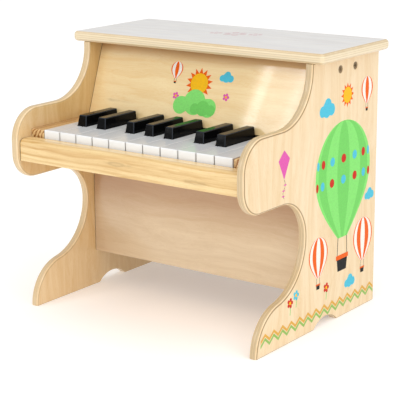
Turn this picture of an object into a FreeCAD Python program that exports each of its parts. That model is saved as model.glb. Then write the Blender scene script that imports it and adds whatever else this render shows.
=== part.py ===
import FreeCAD, Part
import math
import os

# Upright toy piano with struck chime rods.
# Millimetres. X runs from bass to treble, Y from the player to the back, Z up from the floor.

V = FreeCAD.Vector

# White keys and note names of each group of keys, from the bass end
NOTE_GROUPS = (
    (3, ("c", "c_sharp", "d", "d_sharp", "e")),
    (4, ("f", "f_sharp", "g", "g_sharp", "a", "a_sharp", "b")),
    (3, ("c", "c_sharp", "d", "d_sharp", "e")),
    (1, ("f",)),
)

# Cabinet
panel_thickness = 10.0
panel_edge_chamfer = 1.9
upper_depth = 145.0
lid_thickness = 12.0
lid_side_overhang = 14.0
lid_front_overhang = 2.0
lid_corner_round = 5.0
lid_edge_chamfer = 2.8

# Outline of a side panel, with setbacks counted from the front of the arm
arm_rise = 24.0
arm_drop = 23.0
brow_radius = 58.0
nose_top_radius = 36.0
nose_bottom_radius = 30.0
waist_setback = 120.0
waist_radius = 45.0
foot_setback = 23.6
foot_radius = 52.0
arch_setback = 140.0
arch_length = 50.0
arch_height = 10.0

# Boards between the side panels
key_bed_height = 182.0
key_bed_thickness = 10.0
fallboard_thickness = 9.0
fallboard_lean = 18.9
fallboard_gap = 2.0
knee_thickness = 9.0
knee_setback = 13.0
knee_floor_gap = 44.0
back_thickness = 6.0
back_floor_gap = 44.0
slip_setback = 4.2
slip_depth = 18.5
slip_drop = 9.5
slip_round = 6.0
key_block_width = 19.6
key_block_drop = 0.7
key_block_setback = 0.6
key_block_round = 1.5
key_block_clearance = 0.4

# Keys
white_pitch = 24.0
key_gap = 0.8
slip_gap = 1.3
white_height = 14.0
white_head_length = 41.0
white_edge_chamfer = 0.6
playing_length = 102.6
key_float = 11.0
key_dip = 7.0
key_wall = 2.0
key_roof = 2.2
black_rise = 12.5
black_roof = 3.0
black_side_draft = 1.4
black_front_slope = 2.5
black_back_gap = 2.5
black_edge_chamfer = 0.9
tail_step = 3.0
tail_length = 87.0
stiffener_thickness = 1.6
stiffener_depth = 5.0

# Key bearing, guide pins and felts
pivot_setback = 9.0
pivot_depth = 9.0
pivot_rod_diameter = 3.0
pivot_block_length = 10.0
running_clearance = 0.08
seat_clearance = 0.05
rod_flats = 8
fin_thickness = 2.5
fin_clearance = 0.8
fin_reach = 5.0
fin_gap = 1.0
fin_root_inset = 1.0
comb_plate = 4.0
pivot_comb_length = 16.0
guide_setback = 22.0
guide_pin_width = 3.0
guide_pin_sink = 8.0
guide_pin_rise = 4.5
guide_clearance = 0.35
guide_rib_length = 8.0
stop_felt_width = 12.0
stop_felt_setback = 4.0
felt_gap = 0.3
rest_felt_thickness = 2.7
rest_rail_width = 16.0
rest_rail_setback = 3.0

# Hammers
toe_setback = 7.0
toe_arm = 18.0
toe_radius = 3.0
toe_gap = 0.4
hammer_pivot_rise = 10.0
hammer_rod_diameter = 3.0
hammer_arm_height = 5.0
hammer_root_height = 9.0
hammer_root_length = 6.0
head_reach = 48.0
head_rise = 25.0
head_length = 9.0
head_height = 13.0
head_chamfer = 3.0
hammer_comb_reach = 22.2
hammer_comb_height = 26.0

# Beam, tone bar and chime rods
beam_depth = 55.0
beam_height = 26.0
beam_rise = 16.0
tone_bar_gap = 0.6
tone_bar_depth = 12.0
tone_bar_height = 14.0
tone_bar_margin = 6.0
lug_count = 3
lug_width = 24.0
lug_thickness = 8.0
lug_spacing = 100.0
lug_margin = 7.0
bolt_height = 8.0
bolt_diameter = 5.0
bolt_length = 30.0
bolt_head_diameter = 9.0
bolt_head_height = 3.5
bolt_head_sides = 6
chime_diameter = 2.0
chime_sides = 8
chime_sink = 8.0
chime_gap = 12.0
chime_end_gap = 5.5
chimes_per_halving = 24.0

# Wood screws and bolts, whose round parts have a few flat sides
fastener_sides = 10
screw_diameter = 4.0
screw_head_diameter = 7.0
screw_head_height = 2.6
screw_sink = 0.5
hole_clearance = 0.1
side_screw_length = 30.0
side_screw_spread = 32.6
back_screw_length = 18.0
back_screw_spacing = 110.0
back_screw_count = 3

# Places along X
white_count = sum(whites for whites, notes in NOTE_GROUPS)
keyboard_half = white_count * white_pitch / 2
inner_half = keyboard_half + key_block_clearance + key_block_width
outer_half = inner_half + panel_thickness
lid_half = outer_half + lid_side_overhang
narrowest_lane = min(whites * white_pitch / len(notes) for whites, notes in NOTE_GROUPS)
lever_width = narrowest_lane - fin_thickness - 2 * fin_clearance

# Places along Z, from the key bed up to the hammers, the chimes and the top
bed_top = key_bed_height + key_bed_thickness
key_bottom = bed_top + key_float
white_top = key_bottom + white_height
tail_top = white_top - tail_step
pivot_z = white_top - pivot_depth
slip_top = white_top - slip_drop
fallboard_bottom = white_top + fallboard_gap
arm_top = white_top + arm_rise
arm_bottom = key_bed_height - arm_drop
hammer_pivot_z = tail_top + hammer_pivot_rise
head_top = hammer_pivot_z + head_rise
chime_z = head_top + chime_gap + chime_diameter / 2
tone_bar_bottom = chime_z - tone_bar_height / 2
beam_bottom = chime_z + beam_rise
beam_middle = beam_bottom + beam_height / 2
bolt_z = beam_bottom + bolt_height
panel_height = beam_bottom + beam_height

# Depths along Y, from the front of the arm back through the keys and the hammers
lean = math.tan(math.radians(fallboard_lean))
fallboard_run = fallboard_thickness / math.cos(math.radians(fallboard_lean))
key_depth = slip_setback + slip_depth + slip_gap
body_depth = key_depth + playing_length + fallboard_run + fallboard_gap * lean
toe_depth = body_depth + pivot_setback + tail_length - toe_setback
cabinet_depth = toe_depth + toe_arm + hammer_comb_reach + comb_plate + back_thickness

# Places along Y
arm_front = -cabinet_depth / 2
cabinet_back = cabinet_depth / 2
brow_y = cabinet_back - upper_depth
waist_y = arm_front + waist_setback
back_front = cabinet_back - back_thickness
slip_front = arm_front + slip_setback
slip_back = slip_front + slip_depth
key_front = arm_front + key_depth
black_front = key_front + white_head_length
fallboard_foot = key_front + playing_length
body_back = arm_front + body_depth
black_back = fallboard_foot - black_back_gap
pivot_y = body_back + pivot_setback
tail_end = pivot_y + tail_length
toe_y = arm_front + toe_depth
hammer_pivot_y = toe_y + toe_arm
head_y = hammer_pivot_y - head_reach
fallboard_top_back = fallboard_foot + (panel_height - white_top) * lean + fallboard_run
tone_bar_front = fallboard_top_back + tone_bar_gap
beam_front = tone_bar_front + tone_bar_depth
beam_back = beam_front + beam_depth
comb_plate_front = back_front - comb_plate


def block(x_from, x_to, y_from, y_to, z_from, z_to):
    return Part.makeBox(x_to - x_from, y_to - y_from, z_to - z_from, V(x_from, y_from, z_from))


def rod_along_x(x_from, x_to, y, z, radius):
    return Part.makeCylinder(radius, x_to - x_from, V(x_from, y, z), V(1, 0, 0))


def line(start, end):
    return Part.LineSegment(V(0, *start), V(0, *end)).toShape()


def arc(start, through, end):
    return Part.Arc(V(0, *start), V(0, *through), V(0, *end)).toShape()


def prism(edges, x_from, x_to):
    """Solid between two X planes with an outline drawn in the YZ plane."""
    face = Part.Face(Part.Wire(edges))
    face.translate(V(x_from, 0, 0))
    return face.extrude(V(x_to - x_from, 0, 0))


def polygon_prism(points, x_from, x_to):
    closed = list(points) + [points[0]]
    return prism([line(a, b) for a, b in zip(closed, closed[1:])], x_from, x_to)


def on_circle(centre, radius, degrees):
    turn = math.radians(degrees)
    return (centre[0] + radius * math.cos(turn), centre[1] + radius * math.sin(turn))


def flat_sided_ring(centre, along, radius, sides):
    """Points of a closed ring of straight sides around an axis, with its corners at the radius."""
    across = V(1, 0, 0) if abs(along.x) < abs(along.z) + abs(along.y) else V(0, 0, 1)
    other = along.cross(across)
    corners = []
    for number in range(sides + 1):
        turn = 2 * math.pi * (number + 0.5) / sides
        corners.append(centre + across * (radius * math.cos(turn)) + other * (radius * math.sin(turn)))
    return corners


def polygon_face(corners):
    return Part.Face(Part.makePolygon(corners))


def flat_sided_bar(start, along, length, radius, sides):
    return polygon_face(flat_sided_ring(start, along, radius, sides)).extrude(along * length)


def flat_sided_hole(start, along, length, radius, sides):
    """Hole whose flats stand at the radius, so that a round bar passes."""
    return flat_sided_bar(start, along, length, radius / math.cos(math.pi / sides), sides)


def fuse(shapes):
    return shapes[0].multiFuse(shapes[1:]).removeSplitter()


def save(name, shape):
    shape.exportStep(os.path.join("parts", name + ".step"))


def key_list():
    """Name, kind and X range of the lane and of the playing head of each key."""
    keys = []
    group_left = -keyboard_half
    for whites, notes in NOTE_GROUPS:
        lane = whites * white_pitch / len(notes)
        head_left = group_left
        for place, note in enumerate(notes):
            lane_left = group_left + place * lane
            key = {
                "number": len(keys) + 1,
                "note": note,
                "black": note.endswith("sharp"),
                "opens_group": place == 0,
                "lane": (lane_left, lane_left + lane),
                "centre": lane_left + lane / 2,
            }
            if not key["black"]:
                key["head"] = (head_left, head_left + white_pitch)
                head_left += white_pitch
            keys.append(key)
        group_left += whites * white_pitch
    return keys


KEYS = key_list()
bearer_places = [key["lane"][0] for key in KEYS if key["opens_group"]] + [keyboard_half]
separator_places = [key["lane"][0] for key in KEYS if not key["opens_group"]]


# Cabinet

def side_outline():
    """Edges of a side panel: brow, arm with a round nose, waist, foot and floor arch."""
    brow = (brow_y - brow_radius, arm_top + brow_radius)
    nose_top = (arm_front + nose_top_radius, arm_top - nose_top_radius)
    nose_bottom = (arm_front + nose_bottom_radius, arm_bottom + nose_bottom_radius)
    waist = (waist_y - waist_radius, arm_bottom - waist_radius)
    foot = (arm_front + foot_setback + foot_radius, 0)
    # The lower waist arc touches the waist line and the foot's circle from outside.
    reach = waist_y - foot[0]
    sweep_radius = (reach ** 2 + waist[1] ** 2 - foot_radius ** 2) / (2 * (foot_radius + reach))
    sweep = (waist_y - sweep_radius, waist[1])
    foot_angle = math.degrees(math.atan2(sweep[1] - foot[1], sweep[0] - foot[0]))
    foot_end = on_circle(foot, foot_radius, foot_angle)
    foot_front = (foot[0] - foot_radius, 0)
    arch_front = (arm_front + arch_setback, 0)
    arch_top = (arch_front[0] + arch_length / 2, arch_height)
    arch_back = (arch_front[0] + arch_length, 0)
    top_front = (brow_y, panel_height)
    top_back = (cabinet_back, panel_height)
    floor_back = (cabinet_back, 0)
    brow_start = (brow_y, brow[1])
    brow_end = (brow[0], arm_top)
    nose_start = (nose_top[0], arm_top)
    nose_upper = (arm_front, nose_top[1])
    nose_lower = (arm_front, nose_bottom[1])
    nose_end = (nose_bottom[0], arm_bottom)
    waist_start = (waist[0], arm_bottom)
    waist_end = (waist_y, waist[1])
    return [
        line(top_back, top_front),
        line(top_front, brow_start),
        arc(brow_start, on_circle(brow, brow_radius, -45), brow_end),
        line(brow_end, nose_start),
        arc(nose_start, on_circle(nose_top, nose_top_radius, 135), nose_upper),
        line(nose_upper, nose_lower),
        arc(nose_lower, on_circle(nose_bottom, nose_bottom_radius, 225), nose_end),
        line(nose_end, waist_start),
        arc(waist_start, on_circle(waist, waist_radius, 45), waist_end),
        arc(waist_end, on_circle(sweep, sweep_radius, (foot_angle - 180) / 2), foot_end),
        arc(foot_end, on_circle(foot, foot_radius, (180 + foot_angle) / 2), foot_front),
        line(foot_front, arch_front),
        arc(arch_front, arch_top, arch_back),
        line(arch_back, floor_back),
        line(floor_back, top_back),
    ]


def side_screw_places():
    middle = beam_front + beam_depth / 2
    return [middle - side_screw_spread / 2, middle + side_screw_spread / 2]


def side_panel(side):
    """One side panel; side is -1 at the bass end and 1 at the treble end."""
    x_from, x_to = sorted((side * inner_half, side * outer_half))
    panel = prism(side_outline(), x_from, x_to)
    front_edges = []
    for edge in panel.Edges:
        middle = edge.CenterOfMass
        along_profile = edge.BoundBox.XLength < panel_thickness / 2
        if along_profile and middle.y < brow_y + panel_edge_chamfer and 0 < middle.z < panel_height:
            front_edges.append(edge)
    panel = panel.makeChamfer(panel_edge_chamfer, front_edges)
    for y in side_screw_places():
        head = V(side * outer_half, y, beam_middle)
        panel = panel.cut(screw_hole(head, V(-side, 0, 0), side_screw_length))
    return panel


def top_lid():
    lid = block(-lid_half, lid_half, brow_y - lid_front_overhang, cabinet_back,
                panel_height, panel_height + lid_thickness)
    corners = [edge for edge in lid.Edges if edge.BoundBox.ZLength > lid_thickness / 2]
    lid = lid.makeFillet(lid_corner_round, corners)
    rims = [edge for edge in lid.Edges if edge.BoundBox.ZLength < lid_thickness / 2]
    return lid.makeChamfer(lid_edge_chamfer, rims)


def fallboard():
    bottom_front = fallboard_foot + fallboard_gap * lean
    top_front = fallboard_foot + (panel_height - white_top) * lean
    outline = [
        (bottom_front, fallboard_bottom),
        (bottom_front + fallboard_run, fallboard_bottom),
        (top_front + fallboard_run, panel_height),
        (top_front, panel_height),
    ]
    return polygon_prism(outline, -inner_half, inner_half)


def lower_front_panel():
    front = waist_y + knee_setback
    return block(-inner_half, inner_half, front, front + knee_thickness,
                 knee_floor_gap, key_bed_height)


def back_panel():
    board = block(-inner_half, inner_half, back_front, cabinet_back, back_floor_gap, panel_height)
    for place in back_screw_places():
        board = board.cut(screw_hole(place, V(0, -1, 0), back_screw_length))
    return board


def key_slip():
    bar = block(-inner_half, inner_half, slip_front, slip_back, key_bed_height, slip_top)
    rounded = []
    for edge in bar.Edges:
        middle = edge.CenterOfMass
        at_front = abs(middle.y - slip_front) < slip_round / 2
        if at_front and abs(middle.z - slip_top) < slip_round / 2:
            rounded.append(edge)
    return bar.makeFillet(slip_round, rounded)


def key_bed():
    board = block(-inner_half, inner_half, slip_back, back_front, key_bed_height, bed_top)
    for x, y in guide_places():
        board = board.cut(guide_pin(x, y, guide_pin_width / 2 + seat_clearance))
    for place in back_screw_places():
        board = board.cut(screw_shank_hole(place, V(0, -1, 0), back_screw_length))
    return board


def key_block(side):
    x_from, x_to = sorted((side * (inner_half - key_block_width), side * inner_half))
    cheek = block(x_from, x_to, key_front + key_block_setback, body_back,
                  bed_top, white_top - key_block_drop)
    front = [edge for edge in cheek.Edges
             if edge.BoundBox.YMax < key_front + 2 * key_block_setback
             and edge.CenterOfMass.z > white_top - 2 * key_block_drop]
    return cheek.makeFillet(key_block_round, front)


def top_beam():
    beam = block(-inner_half, inner_half, beam_front, beam_back, beam_bottom, panel_height)
    for side in (-1, 1):
        for y in side_screw_places():
            head = V(side * outer_half, y, beam_middle)
            beam = beam.cut(screw_shank_hole(head, V(-side, 0, 0), side_screw_length))
    for x in lug_places():
        beam = beam.cut(bolt_hole(x))
    return beam


# Wood screws

def screw_shank_hole(head, inward, length):
    return flat_sided_hole(head, inward, length, screw_diameter / 2 + hole_clearance, fastener_sides)


def screw_cone(top, inward, rim, neck, height):
    upper = flat_sided_ring(top, inward, rim, fastener_sides)
    lower = flat_sided_ring(top + inward * height, inward, neck, fastener_sides)
    faces = [polygon_face(upper), polygon_face(lower)]
    for a, b, c, d in zip(upper, upper[1:], lower[1:], lower):
        faces.append(polygon_face([a, b, c, d, a]))
    return Part.Solid(Part.Shell(faces))


def screw_hole(head, inward, length):
    """Hole with a countersink for a screw whose head lies just under the surface."""
    spread = 1 / math.cos(math.pi / fastener_sides)
    flare = (screw_head_diameter - screw_diameter) / 2 / screw_head_height
    rim = screw_head_diameter / 2 + hole_clearance + flare * screw_sink
    neck = screw_diameter / 2 + hole_clearance
    sink = screw_cone(head, inward, rim * spread, neck * spread, screw_sink + screw_head_height)
    return fuse([sink, screw_shank_hole(head, inward, length)])


def wood_screw(head, inward, length):
    top = head + inward * screw_sink
    neck = screw_diameter / 2
    cone = screw_cone(top, inward, screw_head_diameter / 2, neck, screw_head_height)
    shank = flat_sided_bar(top, inward, length - screw_sink, neck, fastener_sides)
    return fuse([cone, shank])


def side_screws():
    screws = []
    for side in (-1, 1):
        for y in side_screw_places():
            head = V(side * outer_half, y, beam_middle)
            screws.append(wood_screw(head, V(-side, 0, 0), side_screw_length))
    return Part.makeCompound(screws)


def back_screw_places():
    places = []
    for z in (key_bed_height + key_bed_thickness / 2, hammer_pivot_z):
        for number in range(back_screw_count):
            x = (number - (back_screw_count - 1) / 2) * back_screw_spacing
            places.append(V(nearest_free_x(x), cabinet_back, z))
    return places


def nearest_free_x(x):
    """The middle of the lane nearest to x, clear of the comb's fins."""
    return min((key["centre"] for key in KEYS), key=lambda centre: abs(centre - x))


def back_screws():
    screws = [wood_screw(place, V(0, -1, 0), back_screw_length) for place in back_screw_places()]
    return Part.makeCompound(screws)


# Key bearing

def rod_ends():
    return bearer_places[0] - fin_thickness / 2, bearer_places[-1] + fin_thickness / 2


def fin(outline, x):
    return polygon_prism(outline, x - fin_thickness / 2, x + fin_thickness / 2)


def pivot_comb():
    """Moulded comb on the key bed: bored bearers for the rod, and low fins between the keys."""
    left, right = rod_ends()
    plate_top = bed_top + comb_plate
    fin_top = pivot_z - pivot_rod_diameter / 2 - fin_gap
    front = pivot_y - pivot_comb_length / 2
    back = pivot_y + pivot_comb_length / 2
    root_front = (front + fin_root_inset, plate_top)
    root_back = (back - fin_root_inset, plate_top)
    bearer = [
        root_front,
        root_back,
        (pivot_y + fin_reach, pivot_z),
        (pivot_y + fin_reach / 2, pivot_z + fin_reach),
        (pivot_y - fin_reach / 2, pivot_z + fin_reach),
        (pivot_y - fin_reach, pivot_z),
    ]
    separator = [root_front, root_back, (root_back[0], fin_top), (root_front[0], fin_top)]
    pieces = [block(left, right, front, back, bed_top, plate_top)]
    pieces += [fin(bearer, x) for x in bearer_places]
    pieces += [fin(separator, x) for x in separator_places]
    return fuse(pieces).cut(rod_seat(pivot_y, pivot_z, pivot_rod_diameter))


def rod_seat(y, z, diameter):
    left, right = rod_ends()
    radius = diameter / 2 + seat_clearance
    return flat_sided_hole(V(left, y, z), V(1, 0, 0), right - left, radius, rod_flats)


def key_pivot_rod():
    left, right = rod_ends()
    return rod_along_x(left, right, pivot_y, pivot_z, pivot_rod_diameter / 2)


def guide_place(key):
    front = black_front if key["black"] else key_front
    x = key["centre"] if key["black"] else sum(key["head"]) / 2
    return x, front + guide_setback


def guide_places():
    return [guide_place(key) for key in KEYS]


def guide_pin(x, y, half):
    return block(x - half, x + half, y - half, y + half,
                 bed_top - guide_pin_sink, key_bottom + guide_pin_rise)


def guide_pins():
    return Part.makeCompound([guide_pin(x, y, guide_pin_width / 2) for x, y in guide_places()])


def stop_felts():
    """Strips that stop the white and the black keys at the same angle of travel."""
    strips = []
    for front in (key_front, black_front):
        y_from = front + stop_felt_setback
        travel = key_dip * (pivot_y - y_from) / (pivot_y - key_front)
        strips.append(block(-keyboard_half, keyboard_half, y_from, y_from + stop_felt_width,
                            bed_top, key_bottom - travel - felt_gap))
    return Part.makeCompound(strips)


def rest_strip(z_from, z_to):
    y_to = tail_end - rest_rail_setback
    return block(-keyboard_half, keyboard_half, y_to - rest_rail_width, y_to, z_from, z_to)


def rest_rail():
    return rest_strip(bed_top, key_bottom - felt_gap - rest_felt_thickness)


def rest_felt():
    return rest_strip(key_bottom - felt_gap - rest_felt_thickness, key_bottom - felt_gap)


# Keys

def tail(key):
    """Lever behind the playing part: an open channel with a solid block at the pivot."""
    half = lever_width / 2
    x = key["centre"]
    lever = block(x - half, x + half, body_back - key_wall, tail_end, key_bottom, tail_top)
    hollow = half - key_wall
    roof = tail_top - key_roof
    before = pivot_y - pivot_block_length / 2
    behind = pivot_y + pivot_block_length / 2
    for y_from, y_to in ((body_back - key_wall, before), (behind, tail_end - key_wall)):
        lever = lever.cut(block(x - hollow, x + hollow, y_from, y_to, key_bottom, roof))
    return lever


def guide_ribs(key, roof):
    x, y = guide_place(key)
    inner = guide_pin_width / 2 + guide_clearance
    ribs = []
    for side in (-1, 1):
        x_from, x_to = sorted((x + side * inner, x + side * (inner + stiffener_thickness)))
        ribs.append(block(x_from, x_to, y - guide_rib_length / 2, y + guide_rib_length / 2,
                          key_bottom, roof))
    return ribs


def stiffeners(x_from, x_to, y_from, y_to, roof):
    """Two cross ribs under the roof of a key's narrow part."""
    ribs = []
    for share in (1 / 3, 2 / 3):
        y = y_from + (y_to - y_from) * share
        ribs.append(block(x_from, x_to, y - stiffener_thickness / 2, y + stiffener_thickness / 2,
                          roof - stiffener_depth, roof))
    return ribs


def saddle(y, z, radius, mouth_z):
    """Corners of a slot with flats around a rod, open towards the height of its mouth."""
    crown = math.copysign(radius, z - mouth_z)
    flank = radius * math.tan(math.pi / rod_flats)
    rise = math.copysign(flank, crown)
    return [
        (y + radius, mouth_z),
        (y + radius, z + rise),
        (y + flank, z + crown),
        (y - flank, z + crown),
        (y - radius, z + rise),
        (y - radius, mouth_z),
    ]


def seat_on_rod(shape, key):
    """Cuts the saddle, open below, that the key rocks on the rod with."""
    radius = pivot_rod_diameter / 2 + running_clearance
    slot = saddle(pivot_y, pivot_z, radius, key_bottom - key_wall)
    half = lever_width / 2
    return shape.cut(polygon_prism(slot, key["centre"] - half, key["centre"] + half))


def white_key(key):
    """Moulded shell, open below: a wide head, a narrow part between black keys and a tail."""
    head = (key["head"][0] + key_gap / 2, key["head"][1] - key_gap / 2)
    neck = (key["lane"][0] + key_gap / 2, key["lane"][1] - key_gap / 2)
    head_back = black_front - key_gap
    roof = white_top - key_roof
    skin = fuse([
        block(*head, key_front, head_back, key_bottom, white_top),
        block(*neck, key_front, body_back, key_bottom, white_top),
    ])
    top_edges = []
    for edge in skin.Edges:
        box = edge.BoundBox
        on_top = box.ZMin > white_top - white_edge_chamfer
        at_front = box.YMax < key_front + white_edge_chamfer and box.ZLength > white_height / 2
        if (on_top and box.YMin < body_back - white_edge_chamfer) or at_front:
            top_edges.append(edge)
    skin = skin.makeChamfer(white_edge_chamfer, top_edges)
    head_hollow = (head[0] + key_wall, head[1] - key_wall)
    neck_hollow = (neck[0] + key_wall, neck[1] - key_wall)
    inner_front = key_front + key_wall
    neck_back = body_back - key_wall
    skin = skin.cut(block(*head_hollow, inner_front, head_back - key_wall, key_bottom, roof))
    skin = skin.cut(block(*neck_hollow, inner_front, neck_back, key_bottom, roof))
    ribs = guide_ribs(key, roof) + stiffeners(*neck_hollow, head_back, neck_back, roof)
    return seat_on_rod(fuse([skin, tail(key)] + ribs), key)


def black_key(key):
    """Moulded shell, open below: a raised tapered cap on a lever that runs under the fallboard."""
    lane = (key["lane"][0] + key_gap / 2, key["lane"][1] - key_gap / 2)
    crown = (lane[0] + black_side_draft, lane[1] - black_side_draft)
    top = white_top + black_rise
    foot = [V(lane[0], black_front, white_top), V(lane[1], black_front, white_top),
            V(lane[1], black_back, white_top), V(lane[0], black_back, white_top)]
    crown_front = black_front + black_front_slope
    rim = [V(crown[0], crown_front, top), V(crown[1], crown_front, top),
           V(crown[1], black_back, top), V(crown[0], black_back, top)]
    wires = [Part.makePolygon(corners + corners[:1]) for corners in (foot, rim)]
    cap = Part.makeLoft(wires, True, True)
    raised = [edge for edge in cap.Edges if edge.BoundBox.ZMax > top - black_edge_chamfer]
    cap = cap.makeChamfer(black_edge_chamfer, raised)
    skin = fuse([cap, block(*lane, black_front, body_back, key_bottom, white_top)])
    hollow = (lane[0] + key_wall, lane[1] - key_wall)
    inner_front = crown_front + key_wall
    inner_back = black_back - key_wall
    roof = top - black_roof
    low_roof = white_top - key_roof
    neck_back = body_back - key_wall
    skin = skin.cut(block(*hollow, inner_front, inner_back, key_bottom, roof))
    skin = skin.cut(block(*hollow, inner_front, neck_back, key_bottom, low_roof))
    ribs = guide_ribs(key, roof) + stiffeners(*hollow, inner_front, inner_back, roof)
    return seat_on_rod(fuse([skin, tail(key)] + ribs), key)


# Hammers

def hammer(key):
    """One moulded hammer: a root hooked under the rod, an arm, a head and a toe on the key's tail."""
    y, z = hammer_pivot_y, hammer_pivot_z
    radius = hammer_rod_diameter / 2 + running_clearance
    root_half = hammer_root_height / 2
    root_back = y + hammer_root_length
    head_front = head_y - head_length / 2
    head_back = head_y + head_length / 2
    head_bottom = head_top - head_height
    arm_slope = (head_bottom - z + root_half) / (head_back - y + root_half)
    toe_front = toe_y - toe_radius
    toe_back = toe_y + toe_radius
    toe_z = tail_top + toe_gap + toe_radius

    def arm_underside(at):
        return z - root_half + arm_slope * (at - y + root_half)

    toe_round_front = on_circle((toe_y, toe_z), toe_radius, 225)
    toe_round_back = on_circle((toe_y, toe_z), toe_radius, 315)
    slot = saddle(y, z, radius, z + root_half)
    toe = arc(toe_round_front, (toe_y, toe_z - toe_radius), toe_round_back)
    over = slot + [
        (y - root_half, z + root_half),
        (head_back, head_bottom + hammer_arm_height),
        (head_back, head_top - head_chamfer),
        (head_back - head_chamfer, head_top),
        (head_front + head_chamfer, head_top),
        (head_front, head_top - head_chamfer),
        (head_front, head_bottom),
        (head_back, head_bottom),
        (toe_front, arm_underside(toe_front)),
        (toe_front, toe_z),
        toe_round_front,
    ]
    under = [
        toe_round_back,
        (toe_back, toe_z),
        (toe_back, arm_underside(toe_back)),
        (y - root_half, z - root_half),
        (root_back, z - root_half),
        (root_back, z + root_half),
        slot[0],
    ]
    edges = [line(a, b) for a, b in zip(over, over[1:])] + [toe]
    edges += [line(a, b) for a, b in zip(under, under[1:])]
    return prism(edges, key["centre"] - lever_width / 2, key["centre"] + lever_width / 2)


def hammer_comb():
    """Moulded comb on the back panel: bored bearers for the rod, and fins between the hammers."""
    left, right = rod_ends()
    y, z = hammer_pivot_y, hammer_pivot_z
    low = z - hammer_comb_height / 2
    high = z + hammer_comb_height / 2
    fin_front = y + hammer_rod_diameter / 2 + fin_gap
    root_low = (comb_plate_front, low + fin_root_inset)
    root_high = (comb_plate_front, high - fin_root_inset)
    bearer = [
        root_low,
        root_high,
        (y, z + fin_reach),
        (y - fin_reach, z + fin_reach / 2),
        (y - fin_reach, z - fin_reach / 2),
        (y, z - fin_reach),
    ]
    separator = [root_low, root_high, (fin_front, root_high[1]), (fin_front, root_low[1])]
    pieces = [block(left, right, comb_plate_front, back_front, low, high)]
    pieces += [fin(bearer, x) for x in bearer_places]
    pieces += [fin(separator, x) for x in separator_places]
    comb = fuse(pieces).cut(rod_seat(y, z, hammer_rod_diameter))
    for place in back_screw_places():
        comb = comb.cut(screw_shank_hole(place, V(0, -1, 0), back_screw_length))
    return comb


def hammer_pivot_rod():
    left, right = rod_ends()
    return rod_along_x(left, right, hammer_pivot_y, hammer_pivot_z, hammer_rod_diameter / 2)


# Tone bar and chimes

def lug_places():
    return [(number - (lug_count - 1) / 2) * lug_spacing for number in range(lug_count)]


def bolt_seat(x):
    return V(x, beam_front - lug_thickness, bolt_z)


def bolt_hole(x):
    radius = bolt_diameter / 2 + seat_clearance
    return flat_sided_hole(bolt_seat(x), V(0, 1, 0), bolt_length, radius, fastener_sides)


def tone_bar():
    """Cast bar that holds the chime rods, with lugs bolted to the front of the beam."""
    half = keyboard_half + tone_bar_margin
    bar_top = tone_bar_bottom + tone_bar_height
    pieces = [block(-half, half, tone_bar_front, beam_front, tone_bar_bottom, bar_top)]
    for x in lug_places():
        pieces.append(block(x - lug_width / 2, x + lug_width / 2, beam_front - lug_thickness,
                            beam_front, tone_bar_bottom, bolt_z + lug_margin))
    casting = fuse(pieces)
    for x in lug_places():
        casting = casting.cut(bolt_hole(x))
    for key in KEYS:
        casting = casting.cut(chime_rod(key, chime_diameter / 2 + seat_clearance))
    return casting


def tone_bar_bolts():
    """Bolts with flat-sided heads through the lugs into the beam."""
    bolts = []
    for x in lug_places():
        seat = bolt_seat(x)
        head = flat_sided_bar(seat, V(0, -1, 0), bolt_head_height, bolt_head_diameter / 2, bolt_head_sides)
        shank = flat_sided_bar(seat, V(0, 1, 0), bolt_length, bolt_diameter / 2, fastener_sides)
        bolts.append(fuse([head, shank]))
    return Part.makeCompound(bolts)


def chime_rod(key, radius):
    """Rod whose free length falls by the same share from each key to the next."""
    longest = back_front - chime_end_gap - beam_front
    free = longest * 2 ** (-(key["number"] - 1) / chimes_per_halving)
    start = V(key["centre"], beam_front - chime_sink, chime_z)
    return flat_sided_bar(start, V(0, 1, 0), chime_sink + free, radius, chime_sides)


def chime_rods():
    return Part.makeCompound([chime_rod(key, chime_diameter / 2) for key in KEYS])


def main():
    os.makedirs("parts", exist_ok=True)
    save("left_side_panel", side_panel(-1))
    save("right_side_panel", side_panel(1))
    save("top_lid", top_lid())
    save("fallboard", fallboard())
    save("lower_front_panel", lower_front_panel())
    save("back_panel", back_panel())
    save("key_slip", key_slip())
    save("key_bed", key_bed())
    save("left_key_block", key_block(-1))
    save("right_key_block", key_block(1))
    save("top_beam", top_beam())
    save("side_screws", side_screws())
    save("back_screws", back_screws())
    save("pivot_comb", pivot_comb())
    save("key_pivot_rod", key_pivot_rod())
    save("guide_pins", guide_pins())
    save("stop_felts", stop_felts())
    save("rest_rail", rest_rail())
    save("rest_felt", rest_felt())
    save("hammer_comb", hammer_comb())
    save("hammer_pivot_rod", hammer_pivot_rod())
    save("tone_bar", tone_bar())
    save("tone_bar_bolts", tone_bar_bolts())
    save("chime_rods", chime_rods())
    for key in KEYS:
        shape = black_key(key) if key["black"] else white_key(key)
        save("key_{:02d}_{}".format(key["number"], key["note"]), shape)
        save("hammer_{:02d}_{}".format(key["number"], key["note"]), hammer(key))


main()
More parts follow.
